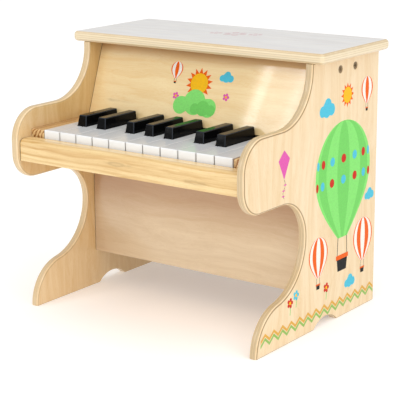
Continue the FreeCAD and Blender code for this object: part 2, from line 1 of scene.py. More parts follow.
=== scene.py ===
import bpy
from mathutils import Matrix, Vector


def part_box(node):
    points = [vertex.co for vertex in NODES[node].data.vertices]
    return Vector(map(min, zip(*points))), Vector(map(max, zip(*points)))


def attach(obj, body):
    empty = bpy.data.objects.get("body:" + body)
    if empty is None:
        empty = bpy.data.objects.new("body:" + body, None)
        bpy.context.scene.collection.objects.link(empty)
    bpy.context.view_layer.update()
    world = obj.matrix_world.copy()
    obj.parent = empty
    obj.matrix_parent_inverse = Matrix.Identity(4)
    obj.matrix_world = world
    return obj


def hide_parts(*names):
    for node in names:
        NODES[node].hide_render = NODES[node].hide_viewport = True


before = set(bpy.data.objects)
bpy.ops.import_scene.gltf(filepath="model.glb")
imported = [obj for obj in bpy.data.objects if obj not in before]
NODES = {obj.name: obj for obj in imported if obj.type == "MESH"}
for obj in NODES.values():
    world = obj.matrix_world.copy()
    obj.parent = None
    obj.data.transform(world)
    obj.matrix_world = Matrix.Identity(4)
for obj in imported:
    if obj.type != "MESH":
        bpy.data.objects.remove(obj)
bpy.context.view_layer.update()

import inspect
import math

import bmesh
import bpy
from bpy.props import FloatProperty, FloatVectorProperty, IntProperty, PointerProperty
from mathutils import Matrix, Vector

bl_info = {
    "name": "Toy piano dressing",
    "version": (1, 0, 0),
    "blender": (4, 5, 0),
    "location": "View3D > Sidebar > Toy piano",
    "description": "Finishes, prints, felts, screws and stage for a small wooden toy piano",
    "category": "Object",
}

MM = 0.001
QUARTER = math.pi / 2
AXES = {"X": 0, "Y": 1, "Z": 2}


def paint(red, green, blue):
    """A colour as screens show it, 0 to 255, in the linear values that shaders use."""
    def linear(value):
        share = value / 255
        return share / 12.92 if share <= 0.04045 else ((share + 0.055) / 1.055) ** 2.4
    return (linear(red), linear(green), linear(blue))


def colour(name, description, *screen):
    return FloatVectorProperty(name=name, description=description, default=paint(*screen),
                               subtype="COLOR", size=3, min=0.0, max=1.0)


def amount(name, description, default, **kind):
    return FloatProperty(name=name, description=description, default=default, **kind)


def length(name, description, millimetres):
    return amount(name, description, millimetres * MM, unit="LENGTH", precision=5, min=0.0)


def angle(name, description, degrees):
    return amount(name, description, math.radians(degrees), subtype="ANGLE", unit="ROTATION")


class CabinetLook(bpy.types.PropertyGroup):
    """Wood of the case"""
    birch_light: colour("Birch light", "Pale wood between the growth lines", 244, 221, 184)
    birch_dark: colour("Birch dark", "Darker streaks of the birch", 224, 186, 126)
    golden_light: colour("Golden light", "Pale wood of the fallboard", 254, 230, 178)
    golden_dark: colour("Golden dark", "Darker streaks of the fallboard", 238, 198, 130)
    pale_light: colour("Pale light", "Pale wood of the board over the knees", 230, 209, 177)
    pale_dark: colour("Pale dark", "Darker streaks of the board over the knees", 210, 183, 145)
    lid_light: colour("Lid light", "Pale wood round the edges of the lid", 234, 214, 180)
    lid_dark: colour("Lid dark", "Darker streaks round the edges of the lid", 212, 182, 134)
    ply_edge: colour("Core plies", "Core plies that show on the edges", 214, 188, 146)
    # Core plies of the right panel, painted darker than the left panel's as shade
    right_edge: colour("Right core plies", "Core plies of the right panel", 194, 172, 134)
    # Core plies of the lid, painted lighter to stand for the light on its edges
    lid_edge_wood: colour("Lid core plies", "Core plies of the lid", 240, 224, 190)
    glue: colour("Glue", "Glue lines between the plies", 138, 108, 66)
    lid_glue: colour("Lid glue", "Glue lines between the plies of the lid", 184, 156, 112)
    # Colour of the painted shade on the side panels' inner faces
    inner: colour("Inner faces", "Tint of the side panels' inner faces", 240, 228, 196)
    pine_light: colour("Pine light", "Early wood of the pine", 246, 218, 162)
    pine_dark: colour("Pine dark", "Late wood of the pine", 204, 158, 90)
    block_dark: colour("Block dark", "Late wood of the key blocks", 158, 100, 40)
    # Colour of the painted reflection that covers the top of the lid
    wash: colour("Lid wash", "Pale wash on the top of the lid", 254, 253, 251)
    # Printed flowers on the lid's top, paled by the painted reflection over them
    motif: colour("Lid motif", "Faint flowers on the top of the lid", 232, 196, 198)
    edge: length("Edge softness", "Width by which the boards' edges are rounded", 0.6)
    panel_edge: length("Panel edge softness", "Width that rounds the side panels' chamfers", 1.2)
    lid_edge: length("Lid edge softness", "Width that rounds the lid's chamfers", 1.2)
    plies: IntProperty(name="Plies", description="Layers in a board", default=5, min=3, max=15)


class KeyLook(bpy.types.PropertyGroup):
    """Plastic of the keys"""
    white: colour("White plastic", "Natural keys", 246, 249, 252)
    black: colour("Black plastic", "Raised keys", 7, 7, 8)
    # Painted shade on the natural keys' flanks, in the gaps between them
    gap: colour("Flanks", "Sides of the natural keys, in the gaps between them", 196, 196, 196)
    # Painted highlight along the raised keys' edges
    shine: colour("Shiny edges", "Polished edges of the raised keys", 50, 54, 60)
    edge: length("Edge softness", "Width that rounds the natural keys' edges", 0.35)
    raised_edge: length("Raised edge softness", "Width that rounds the raised keys' edges", 0.8)


class ActionLook(bpy.types.PropertyGroup):
    """Hammers, combs, chimes and felts"""
    moulding: colour("Moulded plastic", "Combs and hammers", 228, 220, 200)
    steel: colour("Steel", "Rods and pins", 205, 205, 207)
    iron: colour("Cast iron", "Bar that holds the chimes", 84, 84, 86)
    bronze: colour("Dark steel", "Screws and bolts", 158, 134, 100)
    felt: colour("Felt", "Strips under the keys", 150, 34, 40)
    edge: length("Edge softness", "Width by which the moulded edges are rounded", 0.25)
    nap: length("Nap", "Depth of the felt's uneven surface", 0.22)


class PrintLook(bpy.types.PropertyGroup):
    """Printed pictures"""
    green: colour("Green", "Large balloon and hill", 136, 228, 116)
    deep_green: colour("Deep green", "Every other gore, near hill and stems", 118, 212, 100)
    orange: colour("Orange", "Small balloons and sun rays", 240, 98, 0)
    amber: colour("Amber", "Upper line of the border", 226, 172, 72)
    leaf: colour("Leaf green", "Lower line of the border", 150, 192, 98)
    cream: colour("Cream", "Pale stripes", 250, 246, 236)
    red: colour("Red", "Dots and petals", 206, 36, 14)
    blue: colour("Blue", "Clouds, dots and petals", 80, 196, 222)
    pink: colour("Pink", "Kite and petals", 226, 92, 176)
    yellow: colour("Yellow", "Sun and hearts of flowers", 250, 192, 20)
    black: colour("Black", "Baskets, ropes and kite tail", 8, 8, 8)
    thickness: length("Ink thickness", "Thickness of one printed layer", 0.05)


class StageLook(bpy.types.PropertyGroup):
    """Camera, floor and lights"""
    place: FloatVectorProperty(name="Camera place", description="Where the camera stands",
                               default=(0.94524, -1.28284, 0.53836), subtype="TRANSLATION", size=3)
    azimuth: angle("Azimuth", "Turn of the camera round the piano", 36.2182)
    elevation: angle("Elevation", "Angle at which the camera looks down", 14.4066)
    roll: angle("Roll", "Tilt of the camera", -0.4203)
    lens: amount("Lens", "Focal length", 126.38, unit="CAMERA")
    floor: colour("Floor", "Pale floor", 236, 236, 236)
    # Colour of the warm bounce light painted on the floor round the piano
    warm_floor: colour("Warm floor", "Floor that the wood tints", 238, 231, 226)
    glow: amount("Floor glow", "Light that the floor gives off", 0.3, subtype="FACTOR",
                 min=0.0, max=1.0)
    daylight: amount("Daylight", "Strength of the even light all round", 0.5, subtype="FACTOR",
                     min=0.0, max=5.0)
    key_power: amount("Key light", "Power of the light at the right", 8.6, unit="POWER")
    strip_power: amount("Strip lights", "Power of the tall lights at the left", 2.9, unit="POWER")
    fill_power: amount("Front fill", "Power of the wide light in front", 7.3, unit="POWER")
    top_light: amount("Top light", "Strength of the wide light overhead", 1.36)


# Shader building

class Field:
    """Output of a shader node: a value over the surface that joins in sums with others."""

    def __init__(self, socket):
        self.socket = socket
        self.tree = socket.id_data

    def __add__(self, other):
        return maths("ADD", self, other)

    def __sub__(self, other):
        return maths("SUBTRACT", self, other)

    def __rsub__(self, other):
        return maths("SUBTRACT", other, self)

    def __mul__(self, other):
        return maths("MULTIPLY", self, other)

    def __truediv__(self, other):
        return maths("DIVIDE", self, other)

    def __pow__(self, other):
        return maths("POWER", self, other)

    def __abs__(self):
        return maths("ABSOLUTE", self)

    def rise(self, low, high, start=0.0, end=1.0):
        """Goes smoothly from start to end where the value goes from low to high."""
        limits = {"From Min": low, "From Max": high, "To Min": start, "To Max": end}
        return shader_node(self.tree, "MapRange", {"Value": self, **limits},
                           interpolation_type="SMOOTHSTEP")["Result"]

    def fall(self, low, high):
        return self.rise(low, high, 1.0, 0.0)


def feed(socket, term):
    """Links a field to a socket, or sets the socket to a plain number, vector or colour."""
    if isinstance(term, Field):
        term.tree.links.new(term.socket, socket)
    else:
        socket.default_value = term


def tree_of(terms):
    return next(term.tree for term in terms if isinstance(term, Field))


def shader_node(tree, kind, inputs, **settings):
    """Adds a node and returns its outputs by name."""
    node = tree.nodes.new("ShaderNode" + kind)
    for name, value in settings.items():
        setattr(node, name, value)
    for socket, term in inputs.items():
        feed(node.inputs[socket], term)
    return {socket.name: Field(socket) for socket in node.outputs}


def maths(operation, *terms):
    """Result of a Math node whose terms are numbers and fields."""
    return shader_node(tree_of(terms), "Math", dict(enumerate(terms)), operation=operation)["Value"]


def vectors(operation, *terms, output="Vector"):
    """Result of a Vector Math node whose terms are plain vectors and fields."""
    return shader_node(tree_of(terms), "VectorMath", dict(enumerate(terms)),
                       operation=operation)[output]


def split(vector):
    return shader_node(vector.tree, "SeparateXYZ", {0: vector})


def noise(vector, fineness, detail=2.0, roughness=0.5, distortion=0.0, output="Fac"):
    """Noise whose fineness is one number, or one for each axis."""
    factors = fineness if isinstance(fineness, tuple) else (fineness,) * 3
    inputs = {"Vector": vectors("MULTIPLY", vector, factors), "Scale": 1.0, "Detail": detail,
              "Roughness": roughness, "Distortion": distortion}
    return shader_node(vector.tree, "TexNoise", inputs)[output]


# Sockets of a Mix node that mixes colours
MIX_FACTOR, MIX_FIRST, MIX_SECOND, MIX_RESULT = 0, 6, 7, 2


def tinted(factor, first, second, blend="MIX"):
    """Colour mixed from first to second, each a plain colour or a field."""
    node = factor.tree.nodes.new("ShaderNodeMix")
    node.data_type = "RGBA"
    node.blend_type = blend
    feed(node.inputs[MIX_FACTOR], factor)
    for index, tone in ((MIX_FIRST, first), (MIX_SECOND, second)):
        feed(node.inputs[index], tone if isinstance(tone, Field) else (*tone, 1.0))
    return Field(node.outputs[MIX_RESULT])


def shader_group(build):
    """Makes a function of fields a node group, which is built once and placed with its own values.

    The function's parameters are the inputs, and vectors where they have no default. What it
    returns are the outputs.
    """
    name = build.__name__.replace("_", " ").capitalize()
    inputs = inspect.signature(build).parameters

    def made():
        if name in bpy.data.node_groups:
            return bpy.data.node_groups[name]
        tree = bpy.data.node_groups.new(name, "ShaderNodeTree")
        for entry in inputs.values():
            is_vector = entry.default is entry.empty
            socket = tree.interface.new_socket(
                entry.name, in_out="INPUT",
                socket_type="NodeSocketVector" if is_vector else "NodeSocketFloat")
            if not is_vector:
                socket.default_value = entry.default
        given = tree.nodes.new("NodeGroupInput").outputs
        results = build(*(Field(given[entry]) for entry in inputs))
        for result in results:
            tree.interface.new_socket(result, in_out="OUTPUT", socket_type="NodeSocketFloat")
        end = tree.nodes.new("NodeGroupOutput").inputs
        for result, field in results.items():
            feed(end[result], field)
        return tree

    def placed(**values):
        return shader_node(tree_of(values.values()), "Group", values, node_tree=made())
    return placed


@shader_group
def wood_grain(vector, pitch=0.007, wander=0.03, steady=0.0):
    """Streaks, growth lines, fibres and flecks that run along X."""
    slant, waver, sharpness = 0.55, 2.2, 2.6
    drift = noise(vector, (5.0, 16.0, 16.0), output="Color")
    swing = vectors("MULTIPLY", vectors("SUBTRACT", drift, (0.5, 0.5, 0.5)), wander)
    bent = vectors("ADD", vector, swing)
    streak = noise(bent, (3.2, 110.0, 110.0), 4.0, 0.6)
    side = split(bent)
    growth = (side["Z"] * slant + side["Y"]) / pitch + streak * waver
    late = (maths("SINE", growth * (2 * math.pi)) * 0.5 + 0.5) ** sharpness
    fade = noise(bent, (7.0, 24.0, 24.0)).rise(0.35, 0.65)
    return {
        "streak": streak.rise(0.3, 0.7),
        "ring": late * maths("MAXIMUM", fade, steady),
        "fibre": noise(bent, (34.0, 1250.0, 1250.0)).rise(0.3, 0.7),
        "fleck": noise(bent, (170.0, 1500.0, 1500.0), 1.0).rise(0.64, 0.74),
    }


@shader_group
def plies(offset=0.0, half=0.005, count=5.0, lines=0.3, veneer=1.0):
    """Core plies and glue lines of a board, from the distance to its middle."""
    veneer_depth = 0.92
    depth = abs(offset / half)
    layer = (depth * 0.5 + 0.5) * count
    part = maths("FRACT", layer)
    near = maths("MINIMUM", part, 1.0 - part)
    odd = maths("MODULO", maths("FLOOR", layer), 2.0)
    inner = near.fall(0.04, 0.17) * lines * depth.fall(0.9, 0.95)
    outer = abs(depth - veneer_depth).fall(0.03, 0.078) * veneer
    return {
        "core": (odd * 0.25 + 0.75) * depth.fall(0.5, 0.72),
        "glue": maths("MAXIMUM", inner, outer),
    }


@shader_group
def lacquer(vector, base=0.28):
    """Uneven gloss and the faint waves of a sprayed clear coat."""
    unevenness = 0.14
    return {
        "roughness": noise(vector, 22.0, 3.0) * unevenness + base,
        "wave": noise(vector, 190.0, 1.0),
    }


@shader_group
def handling_marks(vector, base=0.2):
    """Fine scratches and cloudy handling marks on plastic and metal."""
    clouding, scuffing = 0.12, 0.08
    long_way = noise(vector, (2600.0, 60.0, 2600.0), 1.0).rise(0.68, 0.8)
    cross_way = noise(vector, (50.0, 2300.0, 1700.0), 1.0).rise(0.7, 0.82)
    scratch = maths("MAXIMUM", long_way, cross_way)
    cloud = noise(vector, 45.0, 3.0)
    return {
        "scratch": scratch,
        "cloud": cloud,
        "roughness": cloud * clouding + scratch * scuffing + base,
    }


@shader_group
def knot(vector, place):
    """Dark oval streaks that lie along the grain round one place."""
    stretch, unevenness, rings = (34.0, 260.0, 260.0), 0.9, 9.0
    away = vectors("MULTIPLY", vectors("SUBTRACT", vector, place), stretch)
    reach = noise(vector, 60.0) * unevenness + vectors("LENGTH", away, output="Value")
    return {"mark": reach.fall(0.45, 1.5) * (maths("SINE", reach * rings) * 0.3 + 0.7)}


@shader_group
def faint_flower(vector, place, radius=0.02):
    """Ring of petals in the XY plane round one place."""
    half_petals, notch = 3.0, 0.45
    away = split(vectors("SUBTRACT", vector, place))
    reach = maths("SQRT", away["X"] * away["X"] + away["Y"] * away["Y"])
    wave = abs(maths("COSINE", maths("ARCTAN2", away["Y"], away["X"]) * half_petals))
    out = reach / (radius * (wave * notch + (1 - notch)))
    petal = out.fall(0.94, 1.0) * out.rise(0.42, 0.48)
    heart = (reach / radius).fall(0.16, 0.2)
    return {"mask": maths("MAXIMUM", petal, heart)}


# Materials

# Turns that lay the grain of a board along X of the pattern
GRAIN_TURNS = {"X": (0.0, 0.0, 0.0), "Y": (0.0, 0.0, -QUARTER), "Z": (0.0, QUARTER, 0.0)}
# Weight and roughness of a clear coat
SATIN = (0.45, 0.12)
JOINT_SHADE = paint(70, 46, 24)
SHADOW_SHADE = paint(146, 84, 10)


def new_material(name):
    """A material and the object coordinates that its patterns read."""
    material = bpy.data.materials.new(name)
    material.use_nodes = True
    return material, shader_node(material.node_tree, "TexCoord", {})["Object"]


def finish(material, sockets, height=None, strength=0.0, depth=0.0):
    """Feeds a material's shader by the names of its sockets, with bump where a height is given."""
    tree = material.node_tree
    shader = tree.nodes["Principled BSDF"]
    if height:
        relief = {"Height": height, "Strength": strength, "Distance": depth}
        feed(shader.inputs["Normal"], shader_node(tree, "Bump", relief)["Normal"])
    for socket, term in sockets.items():
        feed(shader.inputs[socket], term)
    return material


def washed(place, wood, level, pale, motif, flowers):
    """Painted reflection: a pale sheen over the face at a level, with faint printed flowers in it.
    """
    cool_share, motif_share = (0.93, 0.93, 0.95), 0.7
    top = split(place)["Z"].rise(level - 0.3 * MM, level - 0.05 * MM)
    # Uneven cover of the painted reflection
    worn = noise(place, (9.0, 150.0, 150.0), 3.0).rise(0.2, 0.75, 0.98, 0.84)
    swirl = noise(place, (14.0, 46.0, 46.0), 3.0, 0.55, 1.6).rise(0.35, 0.68)
    cool = [part * share for part, share in zip(pale, cool_share)]
    wood = tinted(top * worn, wood, tinted(swirl, pale, cool))
    for spot, radius in flowers:
        mask = faint_flower(vector=place, place=spot, radius=radius)["mask"]
        wood = tinted(mask * top * motif_share, wood, motif)
    return wood


def end_lines(place, wood, reach, width):
    """Darkens a board close to its two ends across X, where it meets its neighbours."""
    line = abs(split(place)["X"]).rise(reach - width, reach - 0.4 * width)
    return tinted(line * 0.85, wood, JOINT_SHADE)


def inner_tone(place, wood, face, tone):
    """Painted shade with warm bounce on a side panel's inner face, less towards floor and front."""
    spot = split(place)
    inside = abs(spot["X"]).fall(face + 0.1 * MM, face + 0.5 * MM)
    high = spot["Z"].rise(0.05, 0.22, 0.35, 1.0)
    back = spot["Y"].rise(-0.13, -0.04, 0.45, 1.0)
    return tinted(inside * high * back, wood, tone, "MULTIPLY")


def dimmed(place, wood, axis, low, high, at_low, at_high):
    """Darkens a board towards one end, where other boards keep the light off."""
    return tinted(split(place)[axis].rise(low, high, at_low, at_high), wood, SHADOW_SHADE)


def layered(place, wood, axis, middle, half, count, lines, veneer, core, glue):
    """Shows the plies of a board on its edges; lines and veneer weigh its inner and outer glue."""
    core_share, glue_share = 0.8, 0.85
    layers = plies(offset=split(place)[axis] - middle, half=half, count=count, lines=lines,
                   veneer=veneer)
    wood = tinted(layers["core"] * core_share, wood, core)
    return tinted(layers["glue"] * glue_share, wood, glue)


def wood_material(name, light, dark, way, pitch, wander, rings, shift, steady=0.0, knots=(),
                  inner=None, dim=(), ply=None, wash=None, ends=None, gloss=SATIN):
    """Lacquered wood with its grain along one axis, and what single boards have besides."""
    streaks, fibres, flecks, knot_share, knot_shade = 0.44, 0.2, 0.4, 0.55, 0.55
    material, place = new_material(name)
    turned = shader_node(material.node_tree, "Mapping", {
        "Vector": place, "Rotation": GRAIN_TURNS[way], "Location": shift})["Vector"]
    figure = wood_grain(vector=turned, pitch=pitch, wander=wander, steady=steady)
    coat = lacquer(vector=place)
    depth = figure["ring"] * rings + figure["streak"] * streaks + figure["fibre"] * fibres
    wood = tinted(figure["fleck"] * flecks, tinted(depth, light, dark), dark)
    for spot in knots:
        mark = knot(vector=place, place=spot)["mark"]
        wood = tinted(mark * knot_share, wood, dark * knot_shade)
    # Painted shade on the inner faces of the side panels
    if inner:
        wood = inner_tone(place, wood, *inner)
    for shadow in dim:
        wood = dimmed(place, wood, *shadow)
    if ply:
        wood = layered(place, wood, *ply)
    # Painted reflection on the top of the lid
    if wash:
        wood = washed(place, wood, *wash)
    if ends:
        wood = end_lines(place, wood, *ends)
    coat_weight, coat_roughness = gloss
    height = coat["wave"] + figure["ring"] * 0.3 + figure["fibre"] * 0.25
    return finish(material, {
        "Base Color": wood, "Roughness": coat["roughness"], "Specular IOR Level": 0.35,
        "Coat Weight": coat_weight, "Coat Roughness": coat_roughness, "Coat IOR": 1.55,
    }, height, strength=0.12, depth=0.4 * MM)


def plastic_material(name, base, shade, roughness, fineness, specular=0.5, gap=None, dull=None,
                     shine=None):
    """Moulded plastic, with painted shade on flanks and tops and a painted highlight on edges."""
    material, place = new_material(name)
    marks = handling_marks(vector=place, base=roughness)
    tone = tinted(marks["cloud"], base, base * shade)
    facing = split(shader_node(material.node_tree, "TexCoord", {})["Normal"])
    aside = abs(facing["X"])
    # Painted shade on the tops
    if dull:
        tone = tinted(facing["Z"].rise(0.7, 0.95), tone, dull)
    # Painted shade on the flanks, between the keys
    if gap:
        tone = tinted(aside.rise(0.35, 0.8), tone, gap)
    # Painted highlight on the edges, where no face is square to an axis
    if shine:
        flat = maths("MAXIMUM", maths("MAXIMUM", aside, abs(facing["Y"])), facing["Z"])
        tone = tinted(flat.fall(0.78, 0.92), tone, shine)
    height = marks["scratch"] * -0.4 + noise(place, fineness)
    return finish(material, {
        "Base Color": tone, "Roughness": marks["roughness"], "Specular IOR Level": specular,
    }, height, strength=0.05, depth=0.3 * MM)


def metal_material(name, base, shade, roughness, fineness, bump, metallic=1.0):
    """Metal with scratches and clouds; bump is the strength of its fine relief."""
    material, place = new_material(name)
    marks = handling_marks(vector=place, base=roughness)
    height = marks["scratch"] * -0.5 + noise(place, fineness, 3.0)
    return finish(material, {
        "Base Color": tinted(marks["cloud"], base, base * shade),
        "Roughness": marks["roughness"], "Metallic": metallic,
    }, height, strength=bump, depth=0.4 * MM)


def felt_material(name, base):
    """Wool felt with loose pale fibres."""
    material, place = new_material(name)
    wool = noise(place, 1400.0, 4.0, 0.7) * 0.6 + noise(place, 260.0, 3.0) * 0.4
    pale = [min(1.0, part * 2.2 + 0.02) for part in base]
    return finish(material, {
        "Base Color": tinted(wool.rise(0.3, 0.7), base, pale), "Roughness": 0.95,
        "Sheen Weight": 0.5,
    }, wool, strength=0.6, depth=0.6 * MM)


def ink_material(look, ink):
    """Ink of one of the prints' colours, made once."""
    name = "Ink " + ink.replace("_", " ")
    if name in bpy.data.materials:
        return bpy.data.materials[name]
    material, place = new_material(name)
    coat = lacquer(vector=place, base=0.26)
    base = getattr(look, ink)
    thin = [part * 0.88 + 0.008 for part in base]
    mottle = noise(place, 520.0, 3.0, 0.6).rise(0.35, 0.75)
    return finish(material, {
        "Base Color": tinted(mottle, base, thin), "Roughness": coat["roughness"],
        "Specular IOR Level": 0.1,
    }, coat["wave"], strength=0.1, depth=0.4 * MM)


# Finishing of the frame's own pieces

def numbered(prefix):
    """Nodes whose name has a number after the prefix."""
    return [node for node in NODES if node.startswith(prefix) and node[len(prefix)].isdigit()]


def dress(node, material):
    mesh = NODES[node].data
    mesh.materials.clear()
    mesh.materials.append(material)


def add_modifier(piece, name, kind, settings):
    modifier = piece.modifiers.new(name, kind)
    for setting, value in settings.items():
        setattr(modifier, setting, value)
    return modifier


def soften(node, width, segments=3, corner=28, clamped=True):
    """Rounds a frame piece's edges that turn by more than corner degrees, by live modifiers."""
    steps = (
        ("Join", "WELD", {"merge_threshold": 0.001 * MM}),
        ("Flat faces", "DECIMATE", {"decimate_type": "DISSOLVE", "angle_limit": math.radians(0.5)}),
        ("Round edges", "BEVEL", {"width": width, "segments": segments, "limit_method": "ANGLE",
                                  "angle_limit": math.radians(corner), "loop_slide": False,
                                  "use_clamp_overlap": clamped}),
        ("Even shading", "WEIGHTED_NORMAL", {"weight": 90}),
    )
    for name, kind, settings in steps:
        add_modifier(NODES[node], name, kind, settings)


# Modelling of new pieces

def deselect():
    if bpy.context.object and bpy.context.object.mode != "OBJECT":
        bpy.ops.object.mode_set(mode="OBJECT")
    bpy.ops.object.select_all(action="DESELECT")


def select_only(piece):
    deselect()
    piece.select_set(True)
    bpy.context.view_layer.objects.active = piece


def named(piece, name):
    piece.name = name
    piece.data.name = name
    return piece


def add_primitive(kind, name, **settings):
    """Adds a named primitive, with nothing else selected."""
    deselect()
    getattr(bpy.ops.mesh, "primitive_{}_add".format(kind))(**settings)
    return named(bpy.context.object, name)


def apply_place():
    bpy.ops.object.transform_apply(location=True, rotation=True, scale=True)


def settle(piece, place=(0.0, 0.0, 0.0), turn=(0.0, 0.0, 0.0)):
    """Puts a piece in its place and leaves its object at the origin."""
    select_only(piece)
    piece.location = place
    piece.rotation_euler = turn
    apply_place()
    return piece


def fit(piece, material, slot):
    """Gives a piece of the case its material and its place in the frame."""
    piece.data.materials.clear()
    piece.data.materials.append(material)
    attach(piece, "cabinet")


def pick_faces(piece, wanted):
    """Selects the faces of a piece that pass a test, in edit mode."""
    bpy.context.view_layer.objects.active = piece
    if piece.mode != "EDIT":
        bpy.ops.object.mode_set(mode="EDIT")
    bpy.ops.mesh.select_mode(type="FACE")
    bpy.ops.mesh.select_all(action="DESELECT")
    edited = bmesh.from_edit_mesh(piece.data)
    for face in edited.faces:
        face.select_set(bool(wanted(face)))
    bmesh.update_edit_mesh(piece.data)


def move_points(piece, spots):
    """Puts the points of a piece in edit mode at new spots, in their order."""
    edited = bmesh.from_edit_mesh(piece.data)
    for vertex, spot in zip(edited.verts, spots):
        vertex.co = spot
    bmesh.update_edit_mesh(piece.data)


def extrude(rise):
    bpy.ops.mesh.extrude_region_move(TRANSFORM_OT_translate={"value": (0.0, 0.0, rise)})


def face_outwards():
    bpy.ops.mesh.select_all(action="SELECT")
    bpy.ops.mesh.normals_make_consistent(inside=False)


def thicken(rise):
    """Makes the flat mesh in edit mode a closed solid and leaves edit mode."""
    bpy.ops.mesh.select_all(action="SELECT")
    extrude(rise)
    face_outwards()
    bpy.ops.object.mode_set(mode="OBJECT")


def apply_modifier(piece, kind, **settings):
    bpy.context.view_layer.objects.active = piece
    modifier = add_modifier(piece, kind.title(), kind, settings)
    bpy.ops.object.modifier_apply(modifier=modifier.name)


# Outlines of printed shapes, in millimetres on the printed face

def turns(count):
    return [2 * math.pi * step / count for step in range(count)]


def around(u, v, reaches, start=0.0, squash=1.0):
    """Outline through equal turns round a middle, with a reach for each turn."""
    return [(u + squash * reach * math.cos(start + turn), v + reach * math.sin(start + turn))
            for reach, turn in zip(reaches, turns(len(reaches)))]


def disc(u, v, radius, squash=1.0):
    return around(u, v, [radius] * 36, squash=squash)


def petals(u, v, radius, count=5, notch=0.5):
    roundness, points = 0.6, 14
    return around(u, v, [radius * (1 - notch * (1 - abs(math.cos(count * turn / 2)) ** roundness))
                         for turn in turns(points * count)])


def star(u, v, outer, inner, points, start=QUARTER):
    return around(u, v, [outer, inner] * points, start)


def puffs(u, v, lobes):
    """Outline round overlapping discs, each (across, up, radius) from the middle."""
    reaches = []
    for turn in turns(90):
        reach = 0.0
        for across, up, radius in lobes:
            along = across * math.cos(turn) + up * math.sin(turn)
            aside = across * math.sin(turn) - up * math.cos(turn)
            if abs(aside) < radius:
                reach = max(reach, along + math.sqrt(radius ** 2 - aside ** 2))
        reaches.append(reach)
    return around(u, v, reaches)


def swell(rise):
    """Half width of a balloon at a share of its height, counted from its mouth."""
    crown, mouth = 0.56, 0.17
    if rise >= crown:
        return math.sqrt(max(0.0, 1 - ((rise - crown) / (1 - crown)) ** 2))
    return mouth + (1 - mouth) * math.sin(QUARTER * rise / crown)


def meridians(count):
    return [math.sin(math.pi * (step / count - 0.5)) for step in range(count + 1)]


def gore(u, v, half, height, left, right, count=22):
    """Slice of a balloon between two meridians, which meet at its top."""
    rises = [math.sin(QUARTER * step / count) for step in range(count + 1)]
    up = [(u + half * right * swell(rise), v + height * rise) for rise in rises]
    down = [(u + half * left * swell(rise), v + height * rise) for rise in rises[-2::-1]]
    return up + down


def basket_part(u, low, high, low_half, high_half):
    """Four-sided outline with a level foot and top."""
    return [(u - low_half, low), (u + low_half, low), (u + high_half, high), (u - high_half, high)]


def stroke(points, width):
    """Band of constant width along a line of points."""
    left = []
    right = []
    for index, point in enumerate(points):
        before = Vector(points[max(0, index - 1)])
        after = Vector(points[min(len(points) - 1, index + 1)])
        way = (after - before).normalized()
        aside = Vector((-way.y, way.x)) * width / 2
        left.append(tuple(Vector(point) + aside))
        right.append(tuple(Vector(point) - aside))
    return right + left[::-1]


def lay_ink(name, shapes, thickness, place, turn):
    """One colour of a print: flat shapes (outline, layer), raised to the ink's thickness."""
    counts = [len(outline) for outline, layer in shapes]
    piece = add_primitive("circle", name, vertices=counts[0], fill_type="NGON")
    bpy.ops.object.mode_set(mode="EDIT")
    for count in counts[1:]:
        bpy.ops.mesh.primitive_circle_add(vertices=count, fill_type="NGON")
    move_points(piece, [(u * MM, v * MM, layer * thickness)
                        for outline, layer in shapes for u, v in outline])
    face_outwards()
    thicken(thickness)
    return settle(piece, place, turn)


class PrintSheet:
    """Shapes of one picture, gathered by colour."""
    CLOUD = ((0.0, 0.0, 0.62), (-0.62, -0.1, 0.42), (0.66, -0.08, 0.46), (0.12, 0.32, 0.5))

    def __init__(self):
        self.colours = {}

    def draw(self, ink, outline, layer=0):
        self.colours.setdefault(ink, []).append((outline, layer))

    def balloon(self, u, v, half, height, gores, inks=("orange", "cream")):
        """Striped balloon with its ropes and basket; v is the height of its mouth."""
        lines = meridians(gores)
        for index in range(gores):
            self.draw(inks[index % 2], gore(u, v, half, height, lines[index], lines[index + 1]))
        basket = half * 0.2
        brim = basket * 1.12
        top = v - height * 0.16
        for side in (-1, 1):
            rope = [(u + side * half * 0.16, v + height * 0.005), (u + side * basket * 0.9, top)]
            self.draw("black", stroke(rope, max(0.5, half * 0.018)))
        self.draw("black", basket_part(u, top - basket * 1.5, top, basket * 0.78, basket), 1)
        self.draw("orange", basket_part(u, top - basket * 0.34, top + basket * 0.1, brim, brim), 2)

    def cloud(self, u, v, size):
        self.draw("blue", puffs(u, v, [[size * part for part in lobe] for lobe in self.CLOUD]))

    def flower(self, u, v, radius, ink, heart="yellow"):
        self.draw(ink, petals(u, v, radius))
        self.draw(heart, disc(u, v, radius * 0.32), 1)

    def sun(self, u, v, radius, rays):
        self.draw("orange", star(u, v, radius * 1.55, radius * 1.02, rays))
        self.draw("yellow", disc(u, v, radius), 1)

    def press(self, name, look, place, turn):
        for ink, shapes in self.colours.items():
            piece = lay_ink("{}_{}".format(name, ink), shapes, look.thickness, place, turn)
            fit(piece, ink_material(look, ink), "birch_ply")


# Operators

